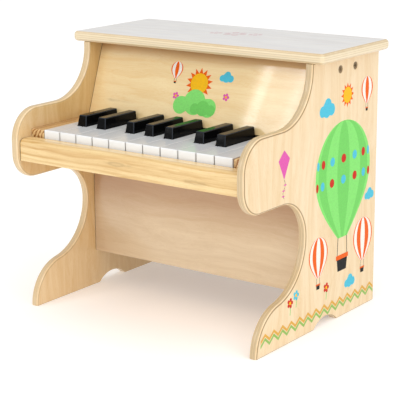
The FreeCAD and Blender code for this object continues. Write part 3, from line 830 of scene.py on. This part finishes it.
class PIANO_OT_finish_cabinet(bpy.types.Operator):
    """Give the boards of the case their wood, lacquer and soft edges"""
    bl_idname = "piano.finish_cabinet"
    bl_label = "Finish cabinet"

    # Tone, way of the grain, axis through the plies, place in the wood's figure
    BOARDS = {
        "right_side_panel": ("birch", "Z", "X", (0.00, 0.03, 0.00)),
        "left_side_panel": ("birch", "Z", "X", (0.70, 0.41, 0.20)),
        "top_lid": ("lid", "X", "Z", (1.30, 0.17, 0.50)),
        "fallboard": ("golden", "X", None, (2.10, 0.62, 0.10)),
        "lower_front_panel": ("pale", "X", "Y", (3.20, 0.28, 0.70)),
        "back_panel": ("birch", "X", "Y", (4.10, 0.91, 0.30)),
        "key_bed": ("birch", "X", "Z", (5.30, 0.55, 0.90)),
    }
    # Pitch and wander of the boards' growth lines, and how dark these are
    BOARD_LINES = (0.013, 0.06, 0.14)
    # Way of the grain, the growth lines' pitch, wander and darkness, place, steadiness of the lines
    STICKS = {
        "key_slip": ("X", 0.0056, 0.014, 0.5, (0.20, 0.10, 0.30), 0.55),
        "left_key_block": ("Y", 0.0052, 0.003, 0.85, (0.90, 0.33, 0.10), 1.0),
        "right_key_block": ("Y", 0.0052, 0.003, 0.85, (1.70, 0.71, 0.40), 1.0),
        "top_beam": ("X", 0.0060, 0.02, 0.7, (2.40, 0.18, 0.60), 0.5),
        "rest_rail": ("X", 0.0050, 0.02, 0.7, (3.60, 0.47, 0.20), 0.5),
    }
    KNOTS = {"fallboard": ((-0.112, -0.003, 0.236),),
             "key_slip": ((-0.006, -0.134, 0.196), (0.098, -0.134, 0.190))}
    # Half length of a board and the width of the dark lines at its ends
    ENDS = {"fallboard": (0.152, 1.1 * MM), "lower_front_panel": (0.152, 1.0 * MM),
            "key_slip": (0.152, 1.6 * MM)}
    # Axis of a shadow, where it starts and ends, and how deep it is there
    DIM = {"fallboard": (("Z", 0.284, 0.301, 0.0, 0.68),),
           "lower_front_panel": (("Z", 0.085, 0.14, 0.0, 0.55), ("X", -0.152, -0.04, 0.2, 0.0))}
    GLOSS = {"fallboard": (1.0, 0.06)}
    LID_FLOWERS = (((0.004, 0.075, 0.316), 0.016), ((-0.020, 0.070, 0.316), 0.009),
                   ((0.028, 0.082, 0.316), 0.010))
    # Least turn, in degrees, of an edge that is rounded on the chamfered boards
    CHAMFER_CORNER = 40

    def execute(self, context):
        look = context.scene.piano_cabinet
        # Inner face and colour of the painted shade inside the side panels
        inner = (abs(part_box("left_side_panel")[1].x), look.inner)
        chamfered = {"right_side_panel": look.panel_edge, "left_side_panel": look.panel_edge,
                     "top_lid": look.lid_edge}
        for node, (tone, way, through, shift) in self.BOARDS.items():
            extras = {}
            if through:
                extras["ply"] = self.layers(look, node, through)
            if node == "top_lid":
                # The top of the lid gets a painted reflection with faint printed flowers
                extras["wash"] = (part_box(node)[1].z, look.wash, look.motif, self.LID_FLOWERS)
            if node.endswith("side_panel"):
                extras["inner"] = inner
            light, dark = getattr(look, tone + "_light"), getattr(look, tone + "_dark")
            self.lacquer_board(node, "Birch", light, dark, way, *self.BOARD_LINES, shift, **extras)
            if node in chamfered:
                soften(node, chamfered[node], corner=self.CHAMFER_CORNER, clamped=False)
            else:
                soften(node, look.edge)
        for node, (*figure, steady) in self.STICKS.items():
            dark = look.block_dark if node.endswith("block") else look.pine_dark
            self.lacquer_board(node, "Pine", look.pine_light, dark, *figure, steady=steady)
            soften(node, look.edge)
        return {"FINISHED"}

    def layers(self, look, node, through):
        """Plies of a board, from its thickness along an axis."""
        low, high = (corner[AXES[through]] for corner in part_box(node))
        # Weights of the inner and outer glue lines, tones of core and glue
        # The lid's core plies take a lighter colour as painted light on its edges
        own = {"top_lid": (0.6, 0.4, look.lid_edge_wood, look.lid_glue),
               # The right panel's core plies take a darker colour as painted shade
               "right_side_panel": (0.3, 1.0, look.right_edge, look.glue)}
        return (through, (low + high) / 2, (high - low) / 2, look.plies,
                *own.get(node, (0.3, 0.45, look.ply_edge, look.glue)))

    def lacquer_board(self, node, wood, *figure, **extras):
        dress(node, wood_material(
            "{} {}".format(wood, node.replace("_", " ")), *figure, knots=self.KNOTS.get(node, ()),
            ends=self.ENDS.get(node), gloss=self.GLOSS.get(node, SATIN),
            dim=self.DIM.get(node, ()), **extras))


class PIANO_OT_finish_keys(bpy.types.Operator):
    """Give the keys their glossy plastic and soft edges"""
    bl_idname = "piano.finish_keys"
    bl_label = "Finish keys"
    # Brightness of the painted shade on the tops of the natural keys
    TOUCHED = 0.70

    def execute(self, context):
        look = context.scene.piano_keys
        white = plastic_material("White key plastic", look.white, shade=0.95, roughness=0.16,
                                 fineness=160.0, specular=0.4, gap=look.gap,
                                 dull=look.white * self.TOUCHED)
        black = plastic_material("Black key plastic", look.black, shade=1.5, roughness=0.12,
                                 fineness=160.0, specular=0.1, shine=look.shine)
        for node in numbered("key_"):
            raised = node.endswith("sharp")
            dress(node, black if raised else white)
            soften(node, look.raised_edge if raised else look.edge)
        return {"FINISHED"}


class PIANO_OT_finish_action(bpy.types.Operator):
    """Give the combs, hammers, rods and chimes their finishes"""
    bl_idname = "piano.finish_action"
    bl_label = "Finish action"

    def execute(self, context):
        look = context.scene.piano_action
        moulding = plastic_material("Moulded action plastic", look.moulding, shade=0.86,
                                    roughness=0.42, fineness=420.0)
        steel = metal_material("Drawn steel", look.steel, shade=0.78, roughness=0.2,
                               fineness=700.0, bump=0.05)
        iron = metal_material("Cast iron", look.iron, shade=0.6, roughness=0.55,
                              fineness=520.0, bump=0.5, metallic=0.85)
        bronze = metal_material("Dark steel", look.bronze, shade=0.55, roughness=0.32,
                                fineness=600.0, bump=0.1, metallic=0.9)
        finishes = (
            (steel, ("key_pivot_rod", "hammer_pivot_rod", "guide_pins", "chime_rods")),
            (iron, ("tone_bar",)),
            (bronze, ("tone_bar_bolts", "side_screws", "back_screws")),
            (moulding, ("pivot_comb", "hammer_comb", *numbered("hammer_"))),
        )
        for material, nodes in finishes:
            for node in nodes:
                dress(node, material)
                soften(node, look.edge, segments=2)
        return {"FINISHED"}


class PIANO_OT_drive_screws(bpy.types.Operator):
    """Model a cross-head screw and drive copies of it into the sides and the back"""
    bl_idname = "piano.drive_screws"
    bl_label = "Drive screws"
    HEAD = 3.85 * MM
    NECK = 1.9 * MM
    CONE = 2.6 * MM
    TIP = 4.0 * MM
    POINT = 0.1
    # Insets of the head and the rise at each
    DOME = ((0.35 * MM, 0.10 * MM), (0.9 * MM, 0.09 * MM), (1.0 * MM, 0.03 * MM))
    ARM = 2.3 * MM
    SLOT = 0.65 * MM
    RECESS = 1.7 * MM
    TAPER = 0.5
    SMOOTH = math.radians(35)
    # Turn of the first cross, and how much further each next one is turned
    FIRST_TURN = 0.7
    NEXT_TURN = 1.9
    FACING = {("X", 1): (0.0, QUARTER, 0.0), ("X", -1): (0.0, -QUARTER, 0.0),
              ("Y", 1): (-QUARTER, 0.0, 0.0)}

    def execute(self, context):
        for node, way in (("side_screws", "X"), ("back_screws", "Y")):
            heads, depth = self.heads(node, AXES[way])
            pattern = self.screw(node + "_pattern", depth)
            for index, (place, side) in enumerate(heads):
                select_only(pattern)
                bpy.ops.object.duplicate(linked=False)
                piece = named(bpy.context.object, "{}_{}".format(node, index + 1))
                settle(piece, turn=(0.0, 0.0, self.FIRST_TURN + self.NEXT_TURN * index))
                settle(piece, place, self.FACING[way, side])
                fit(piece, bpy.data.materials["Dark steel"], "dark_steel")
                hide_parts(node)
            bpy.data.objects.remove(pattern)
        return {"FINISHED"}

    def heads(self, node, axis):
        """Middle of each head and the side that it faces, and the screws' length."""
        groups = []
        for vertex in NODES[node].data.vertices:
            side = 1 if vertex.co[axis] > 0 else -1
            home = None
            for group in groups:
                apart = vertex.co - group["low"]
                apart[axis] = 0.0
                if group["side"] == side and apart.length < 3 * self.HEAD:
                    home = group
            if home is None:
                home = {"side": side, "low": vertex.co.copy(), "high": vertex.co.copy()}
                groups.append(home)
            home["low"] = Vector(map(min, home["low"], vertex.co))
            home["high"] = Vector(map(max, home["high"], vertex.co))
        found = []
        for group in groups:
            middle = (group["low"] + group["high"]) / 2
            middle[axis] = (group["high"] if group["side"] > 0 else group["low"])[axis]
            found.append((middle, group["side"]))
        return found, groups[0]["high"][axis] - groups[0]["low"][axis]

    def screw(self, name, depth):
        """Countersunk screw along Z with its head's rim at the origin."""
        piece = add_primitive("cylinder", name, vertices=48, radius=self.HEAD, depth=self.CONE,
                              location=(0.0, 0.0, -self.CONE / 2))
        apply_place()
        pick_faces(piece, lambda face: face.normal.z < -0.9)
        shank = self.NECK / self.HEAD
        bpy.ops.transform.resize(value=(shank, shank, 1.0))
        extrude(self.CONE + self.TIP - depth)
        extrude(-self.TIP)
        bpy.ops.transform.resize(value=(self.POINT, self.POINT, 1.0))
        pick_faces(piece, lambda face: face.normal.z > 0.9)
        for inward, rise in self.DOME:
            bpy.ops.mesh.inset(thickness=inward)
            bpy.ops.transform.translate(value=(0.0, 0.0, rise))
        bpy.ops.object.mode_set(mode="OBJECT")
        cutter = self.cross()
        apply_modifier(piece, "BOOLEAN", object=cutter, operation="DIFFERENCE", solver="EXACT")
        bpy.data.objects.remove(cutter)
        select_only(piece)
        bpy.ops.object.shade_smooth_by_angle(angle=self.SMOOTH)
        return piece

    def cross(self):
        """Tapered cross that cuts the recess."""
        corner = ((self.ARM, -self.SLOT), (self.ARM, self.SLOT), (self.SLOT, self.SLOT))
        outline = [Matrix.Rotation(quarter * QUARTER, 2) @ Vector(point)
                   for quarter in range(4) for point in corner]
        cutter = add_primitive("circle", "cross_cutter", vertices=len(outline), fill_type="NGON")
        pick_faces(cutter, lambda face: True)
        move_points(cutter, [(point.x, point.y, self.SLOT) for point in outline])
        extrude(-self.SLOT - self.RECESS)
        bpy.ops.transform.resize(value=(self.TAPER, self.TAPER, 1.0))
        face_outwards()
        bpy.ops.object.mode_set(mode="OBJECT")
        return cutter


class PIANO_OT_lay_felts(bpy.types.Operator):
    """Lay the wool strips that the keys rest on and stop against"""
    bl_idname = "piano.lay_felts"
    bl_label = "Lay felts"
    CELLS = (132, 7)
    ROUNDING = 0.9 * MM
    CORNER = math.radians(50)
    TUFT = 3.0 * MM

    def execute(self, context):
        look = context.scene.piano_action
        wool = felt_material("Wool felt", look.felt)
        for node in ("stop_felts", "rest_felt"):
            low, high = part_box(node)
            tops = {}
            for vertex in NODES[node].data.vertices:
                edge = round(vertex.co.y, 5)
                tops[edge] = max(tops.get(edge, low.z), vertex.co.z)
            edges = sorted(tops)
            for index in range(0, len(edges), 2):
                front, back = edges[index:index + 2]
                name = "{}_strip_{}".format(node, index // 2 + 1)
                piece = self.strip(name, look.nap, Vector((low.x, front, low.z)),
                                   Vector((high.x, back, tops[back])))
                fit(piece, wool, "felt")
                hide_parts(node)
        return {"FINISHED"}

    def strip(self, name, nap, low, high):
        """Strip of felt with rounded edges and an uneven surface."""
        middle = (low + high) / 2
        size = high - low
        along, across = self.CELLS
        piece = add_primitive("grid", name, x_subdivisions=along, y_subdivisions=across, size=1.0,
                              location=(middle.x, middle.y, high.z))
        piece.scale = (size.x, size.y, 1.0)
        apply_place()
        bpy.ops.object.mode_set(mode="EDIT")
        thicken(-size.z)
        apply_modifier(piece, "BEVEL", width=self.ROUNDING, segments=3, limit_method="ANGLE",
                       angle_limit=self.CORNER)
        wool = bpy.data.textures.new(name, "CLOUDS")
        wool.noise_scale = self.TUFT
        apply_modifier(piece, "DISPLACE", texture=wool, texture_coords="LOCAL", mid_level=1.0,
                       strength=nap)
        select_only(piece)
        bpy.ops.object.shade_smooth()
        return piece


class PIANO_OT_print_side(bpy.types.Operator):
    """Print the balloons, clouds, kite and flowers on the right side panel"""
    bl_idname = "piano.print_side"
    bl_label = "Print side"
    # Middle, height of the mouth, half width and height of each balloon, and its gores
    LARGE_BALLOON = (62.0, 96.0, 60.0, 136.0, 7)
    BALLOONS = ((112.0, 244.0, 13.0, 31.0, 5), (109.0, 57.0, 22.0, 52.0, 7),
                (10.0, 60.0, 20.0, 47.0, 7))
    CLOUDS = ((24.0, 250.0, 15.0), (122.0, 134.0, 10.0), (80.0, 38.0, 11.0))
    FLOWERS = ((-48.0, 46.0, "red"), (-36.0, 52.0, "blue"), (28.0, 44.0, "red"))
    PETAL = 6.0
    STEM = ((0.2, -4.6), (0.6, -9.0), (0.0, -14.0))
    STEM_WIDTH = 1.0
    # Heights of the rows of dots, as shares of the large balloon's height
    ROWS = (0.5, 0.68)
    # Middle, radius and rays
    SUN = (68.0, 260.0, 9.0, 12)
    # Middle, half width and height above the middle
    KITE = (-62.0, 206.0, 11.0, 14.0)

    def execute(self, context):
        sheet = PrintSheet()
        self.large_balloon(sheet, *self.LARGE_BALLOON)
        for balloon in self.BALLOONS:
            sheet.balloon(*balloon)
        for cloud in self.CLOUDS:
            sheet.cloud(*cloud)
        sheet.sun(*self.SUN)
        self.kite(sheet, *self.KITE)
        for u, v, ink in self.FLOWERS:
            stem = [(u + aside, v + up) for aside, up in self.STEM]
            sheet.draw("deep_green", stroke(stem, self.STEM_WIDTH))
            sheet.flower(u, v, self.PETAL, ink)
        sheet.press("side_print", context.scene.piano_prints,
                    (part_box("right_side_panel")[1].x, 0.0, 0.0), (QUARTER, 0.0, QUARTER))
        return {"FINISHED"}

    def large_balloon(self, sheet, u, v, half, height, gores):
        """Balloon whose gores carry two rows of dots, narrower towards its sides."""
        sheet.balloon(u, v, half, height, gores, ("green", "deep_green"))
        lines = meridians(gores)
        widths = [right - left for left, right in zip(lines, lines[1:])]
        for row, rise in enumerate(self.ROWS):
            for index, width in enumerate(widths):
                across = u + half * (lines[index] + width / 2) * swell(rise)
                squash = 0.35 + 0.65 * width / max(widths)
                sheet.draw(("red", "blue")[(index + row) % 2],
                           disc(across, v + height * rise, half * 0.085, squash), 1)

    def kite(self, sheet, u, v, half, rise):
        """Kite with bows along its waving tail."""
        sway, bend, drop, string = 2.2, 0.9, 3.0, 0.5
        wing, pinch = 3.4, 1.0
        foot = v - rise * 1.3
        shoulder = v + rise * 0.25
        sheet.draw("pink", [(u, foot), (u + half, shoulder), (u, v + rise), (u - half, shoulder)])
        tail = [(u + sway * math.sin(bend * step), foot - drop * step) for step in range(8)]
        sheet.draw("black", stroke(tail, string))
        for bow in tail[2::2]:
            sheet.draw("pink", star(*bow, wing, pinch, 2, 0.0), 1)


class PIANO_OT_print_fallboard(bpy.types.Operator):
    """Print the sun, hills, balloon and flowers on the board behind the keys"""
    bl_idname = "piano.print_fallboard"
    bl_label = "Print fallboard"
    LEAN = math.radians(18.9)
    SUN = (2.0, 50.0, 12.0, 14)
    # Middle and lobes
    HILL = (0.0, 28.0, ((0.0, 0.0, 15.0), (-19.0, -5.0, 10.5), (20.0, -5.0, 11.0)))
    NEAR_HILL = (13.0, 22.0, ((0.0, 0.0, 9.0), (11.0, -1.5, 6.5), (-11.0, -1.5, 6.5)))
    BALLOON = (-33.0, 53.0, 8.5, 20.0, 5)
    CLOUD = (38.0, 60.0, 9.0)
    PETAL = 4.6
    FLOWERS = ((-28.0, 33.0, "pink", "yellow"), (42.0, 38.0, "pink", "yellow"),
               (-6.0, 27.0, "red", "yellow"), (9.0, 33.0, "yellow", "cream"))

    def execute(self, context):
        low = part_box("fallboard")[0]
        sheet = PrintSheet()
        sheet.sun(*self.SUN)
        sheet.draw("green", puffs(*self.HILL), 2)
        sheet.draw("deep_green", puffs(*self.NEAR_HILL), 3)
        sheet.balloon(*self.BALLOON)
        sheet.cloud(*self.CLOUD)
        for u, v, ink, heart in self.FLOWERS:
            sheet.flower(u, v, self.PETAL, ink, heart)
        sheet.press("fallboard_print", context.scene.piano_prints, (0.0, low.y, low.z),
                    (QUARTER - self.LEAN, 0.0, 0.0))
        return {"FINISHED"}


class PIANO_OT_print_border(bpy.types.Operator):
    """Print the two zigzag lines along the foot of the right side panel"""
    bl_idname = "piano.print_border"
    bl_label = "Print zigzag border"
    FRONT = -106.0
    BACK = 136.0
    STEPS = 28
    SWING = 7.0
    LINE = 3.4
    # Ink, height of the line's middle, layer
    LINES = (("leaf", 15.6, 0), ("amber", 20.4, 1))

    def execute(self, context):
        look = context.scene.piano_prints
        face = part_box("right_side_panel")[1].x
        for ink, height, layer in self.LINES:
            piece = self.zigzag("border_print_" + ink, height, look.thickness)
            settle(piece, (face + layer * look.thickness, 0.0, 0.0), (QUARTER, 0.0, QUARTER))
            fit(piece, ink_material(look, ink), "birch_ply")
        return {"FINISHED"}

    def zigzag(self, name, height, thickness):
        """Flat line of ink that bends at each step of a grid."""
        piece = add_primitive("grid", name, x_subdivisions=self.STEPS, y_subdivisions=1, size=1.0)
        spots = []
        for vertex in piece.data.vertices:
            step = round((vertex.co.x + 0.5) * self.STEPS)
            along = self.FRONT + (self.BACK - self.FRONT) * step / self.STEPS
            bend = self.SWING / 2 * (1 if step % 2 else -1)
            spots.append((along * MM, (height + bend + self.LINE * vertex.co.y) * MM, 0.0))
        bpy.ops.object.mode_set(mode="EDIT")
        move_points(piece, spots)
        thicken(thickness)
        return piece


class PIANO_OT_set_stage(bpy.types.Operator):
    """Set the camera, the pale floor and the soft lights"""
    bl_idname = "piano.set_stage"
    bl_label = "Set stage"
    SENSOR = 36.0
    FLOOR = 40.0
    FLOOR_GLOW = (1.0, 0.97, 0.94, 1.0)
    # Place of the top light, its turn and the angle that it fills
    TOP = ((0.0, 0.0, 2.0), (0.12, 0.2, 0.0), math.radians(80))
    MIDDLE = (0.0, 0.0, 0.15)
    OVER_PIANO = (0.12, 0.0, 0.95)
    # Name, place, aim, width and height, power and its share
    LIGHTS = (
        ("Key light", (1.9, -0.6, 1.0), MIDDLE, (1.2, 1.2), "key_power", 1.0),
        ("Wide strip", (-0.945, -1.56, 0.95), OVER_PIANO, (0.118, 1.3), "strip_power", 0.58),
        ("Narrow strip", (-1.038, -1.55, 0.95), OVER_PIANO, (0.025, 1.3), "strip_power", 0.32),
        ("Thin strip", (-0.93, -1.55, 0.95), OVER_PIANO, (0.02, 1.3), "strip_power", 0.14),
        ("Front fill", (0.4, -2.2, 0.8), MIDDLE, (1.5, 1.0), "fill_power", 1.0),
    )

    def execute(self, context):
        look = context.scene.piano_stage
        context.scene.view_settings.view_transform = "Standard"
        self.camera(context.scene, look)
        self.floor(look)
        self.daylight(context.scene, look)
        place, turn, spread = self.TOP
        self.light("SUN", "Top light", place, turn, look.top_light).angle = spread
        for name, place, aim, size, power, part in self.LIGHTS:
            turn = (Vector(aim) - Vector(place)).to_track_quat("-Z", "Y").to_euler()
            lamp = self.light("AREA", name, place, turn, getattr(look, power) * part)
            lamp.shape = "RECTANGLE"
            lamp.size, lamp.size_y = size
        return {"FINISHED"}

    def camera(self, scene, look):
        """Camera at its place, turned by its azimuth, elevation and roll."""
        level = math.cos(look.elevation)
        back = Vector((math.sin(look.azimuth) * level, -math.cos(look.azimuth) * level,
                       math.sin(look.elevation)))
        right = Vector((math.cos(look.azimuth), math.sin(look.azimuth), 0.0))
        up = back.cross(right)
        across = math.cos(look.roll) * right + math.sin(look.roll) * up
        above = math.cos(look.roll) * up - math.sin(look.roll) * right
        bpy.ops.object.camera_add()
        camera = bpy.context.object
        turn = Matrix((across, above, back)).transposed().to_4x4()
        camera.matrix_world = Matrix.Translation(look.place) @ turn
        camera.data.lens = look.lens
        camera.data.sensor_width = self.SENSOR
        scene.camera = camera

    def floor(self, look):
        """Pale floor, with warm bounce light from the wood painted on it round the piano."""
        clouding = 0.985
        floor = add_primitive("plane", "floor", size=self.FLOOR)
        material, place = new_material("Pale floor")
        plain = tinted(noise(place, 3.0), look.floor, look.floor * clouding)
        # Painted bounce light from the wood, right round the piano
        near = vectors("LENGTH", place, output="Value").fall(0.06, 0.24)
        finish(material, {"Base Color": tinted(near, plain, look.warm_floor), "Roughness": 0.9,
                          "Specular IOR Level": 0.1, "Emission Color": self.FLOOR_GLOW,
                          "Emission Strength": look.glow})
        floor.data.materials.append(material)

    def daylight(self, scene, look):
        """Even light all round, from a background that the camera sees as white."""
        world = bpy.data.worlds.new("Studio")
        world.use_nodes = True
        background = world.node_tree.nodes["Background"].inputs
        background["Color"].default_value = (1.0, 1.0, 1.0, 1.0)
        seen = shader_node(world.node_tree, "LightPath", {})["Is Camera Ray"]
        feed(background["Strength"], seen.rise(0.0, 1.0, look.daylight, 1.0))
        scene.world = world

    def light(self, kind, name, place, turn, power):
        bpy.ops.object.light_add(type=kind, location=place, rotation=turn)
        lamp = named(bpy.context.object, name)
        lamp.data.energy = power
        lamp.visible_camera = False
        return lamp.data


class PIANO_PT_dressing(bpy.types.Panel):
    """Lists the looks and the steps that dress the piano"""
    bl_label = "Toy piano"
    bl_idname = "PIANO_PT_dressing"
    bl_space_type = "VIEW_3D"
    bl_region_type = "UI"
    bl_category = "Toy piano"

    def draw(self, context):
        for look in LOOKS:
            box = self.layout.box()
            group = getattr(context.scene, look)
            box.label(text=group.bl_rna.description)
            for name in group.__annotations__:
                box.prop(group, name)
        for step in STEPS:
            self.layout.operator(step.bl_idname)


LOOKS = {
    "piano_cabinet": CabinetLook,
    "piano_keys": KeyLook,
    "piano_action": ActionLook,
    "piano_prints": PrintLook,
    "piano_stage": StageLook,
}
STEPS = (
    PIANO_OT_finish_cabinet,
    PIANO_OT_finish_keys,
    PIANO_OT_finish_action,
    PIANO_OT_drive_screws,
    PIANO_OT_lay_felts,
    PIANO_OT_print_side,
    PIANO_OT_print_fallboard,
    PIANO_OT_print_border,
    PIANO_OT_set_stage,
)


def register():
    for look, group in LOOKS.items():
        bpy.utils.register_class(group)
        setattr(bpy.types.Scene, look, PointerProperty(type=group))
    for step in STEPS:
        bpy.utils.register_class(step)
    bpy.utils.register_class(PIANO_PT_dressing)


def unregister():
    bpy.utils.unregister_class(PIANO_PT_dressing)
    for step in reversed(STEPS):
        bpy.utils.unregister_class(step)
    for look, group in reversed(list(LOOKS.items())):
        delattr(bpy.types.Scene, look)
        bpy.utils.unregister_class(group)


def main():
    register()
    for step in STEPS:
        area, name = step.bl_idname.split(".")
        getattr(getattr(bpy.ops, area), name)()


if __name__ == "__main__":
    main()
